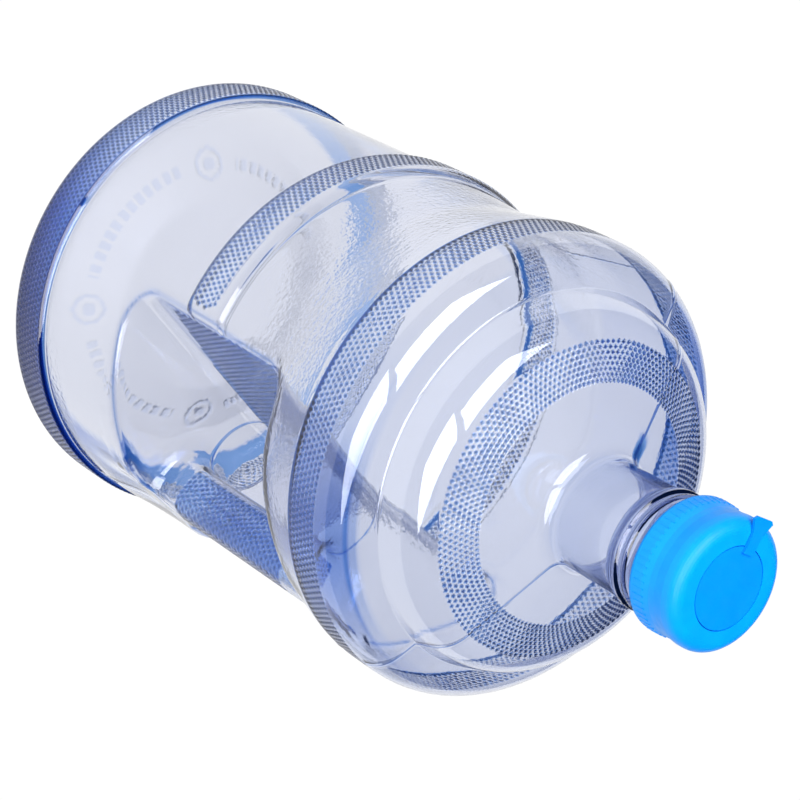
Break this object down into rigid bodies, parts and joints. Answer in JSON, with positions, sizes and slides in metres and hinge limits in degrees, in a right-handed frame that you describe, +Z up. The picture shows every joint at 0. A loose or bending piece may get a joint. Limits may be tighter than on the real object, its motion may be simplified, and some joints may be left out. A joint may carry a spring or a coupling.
{
  "type": "large water jug",
  "caption": "Large clear water-cooler bottle with textured bands, a through hand space with an upright grip bar, a long neck and a blue press-on cap with a pull-tab lid.",
  "frame": {"origin": "centre of the base, on the plane the bottle stands on", "axes": "+Z up from the base to the neck; the grip bar is on the -Y side, in the mould's parting plane X = 0"},
  "size_m": [0.271, 0.271, 0.494],
  "materials": {
    "polycarbonate": "clear pale blue, glossy, with a fine moulded knurl in the bands",
    "cap_polyethylene": "azure blue, satin gloss",
    "liner_foam": "white closed-cell foam",
    "plug_polyethylene": "natural white, satin"
  },
  "bodies": {
    "bottle": {"bottle_shell": "polycarbonate"},
    "cap": {"cap_shell": "cap_polyethylene", "cap_liner": "liner_foam"},
    "lid": {"pull_tab_lid": "cap_polyethylene"},
    "valve": {"valve_plug": "plug_polyethylene"}
  },
  "joints": [
    {"name": "cap_pull", "type": "slide", "parent": "bottle", "child": "cap", "axis": [0, 0, 1], "range_m": [0, 0.06]},
    {"name": "lid_peel", "type": "slide", "parent": "cap", "child": "lid", "axis": [0, 0, 1], "range_m": [0, 0.03]},
    {"name": "valve_push", "type": "slide", "parent": "cap", "child": "valve", "axis": [0, 0, -1], "range_m": [0, 0.03]}
  ]
}
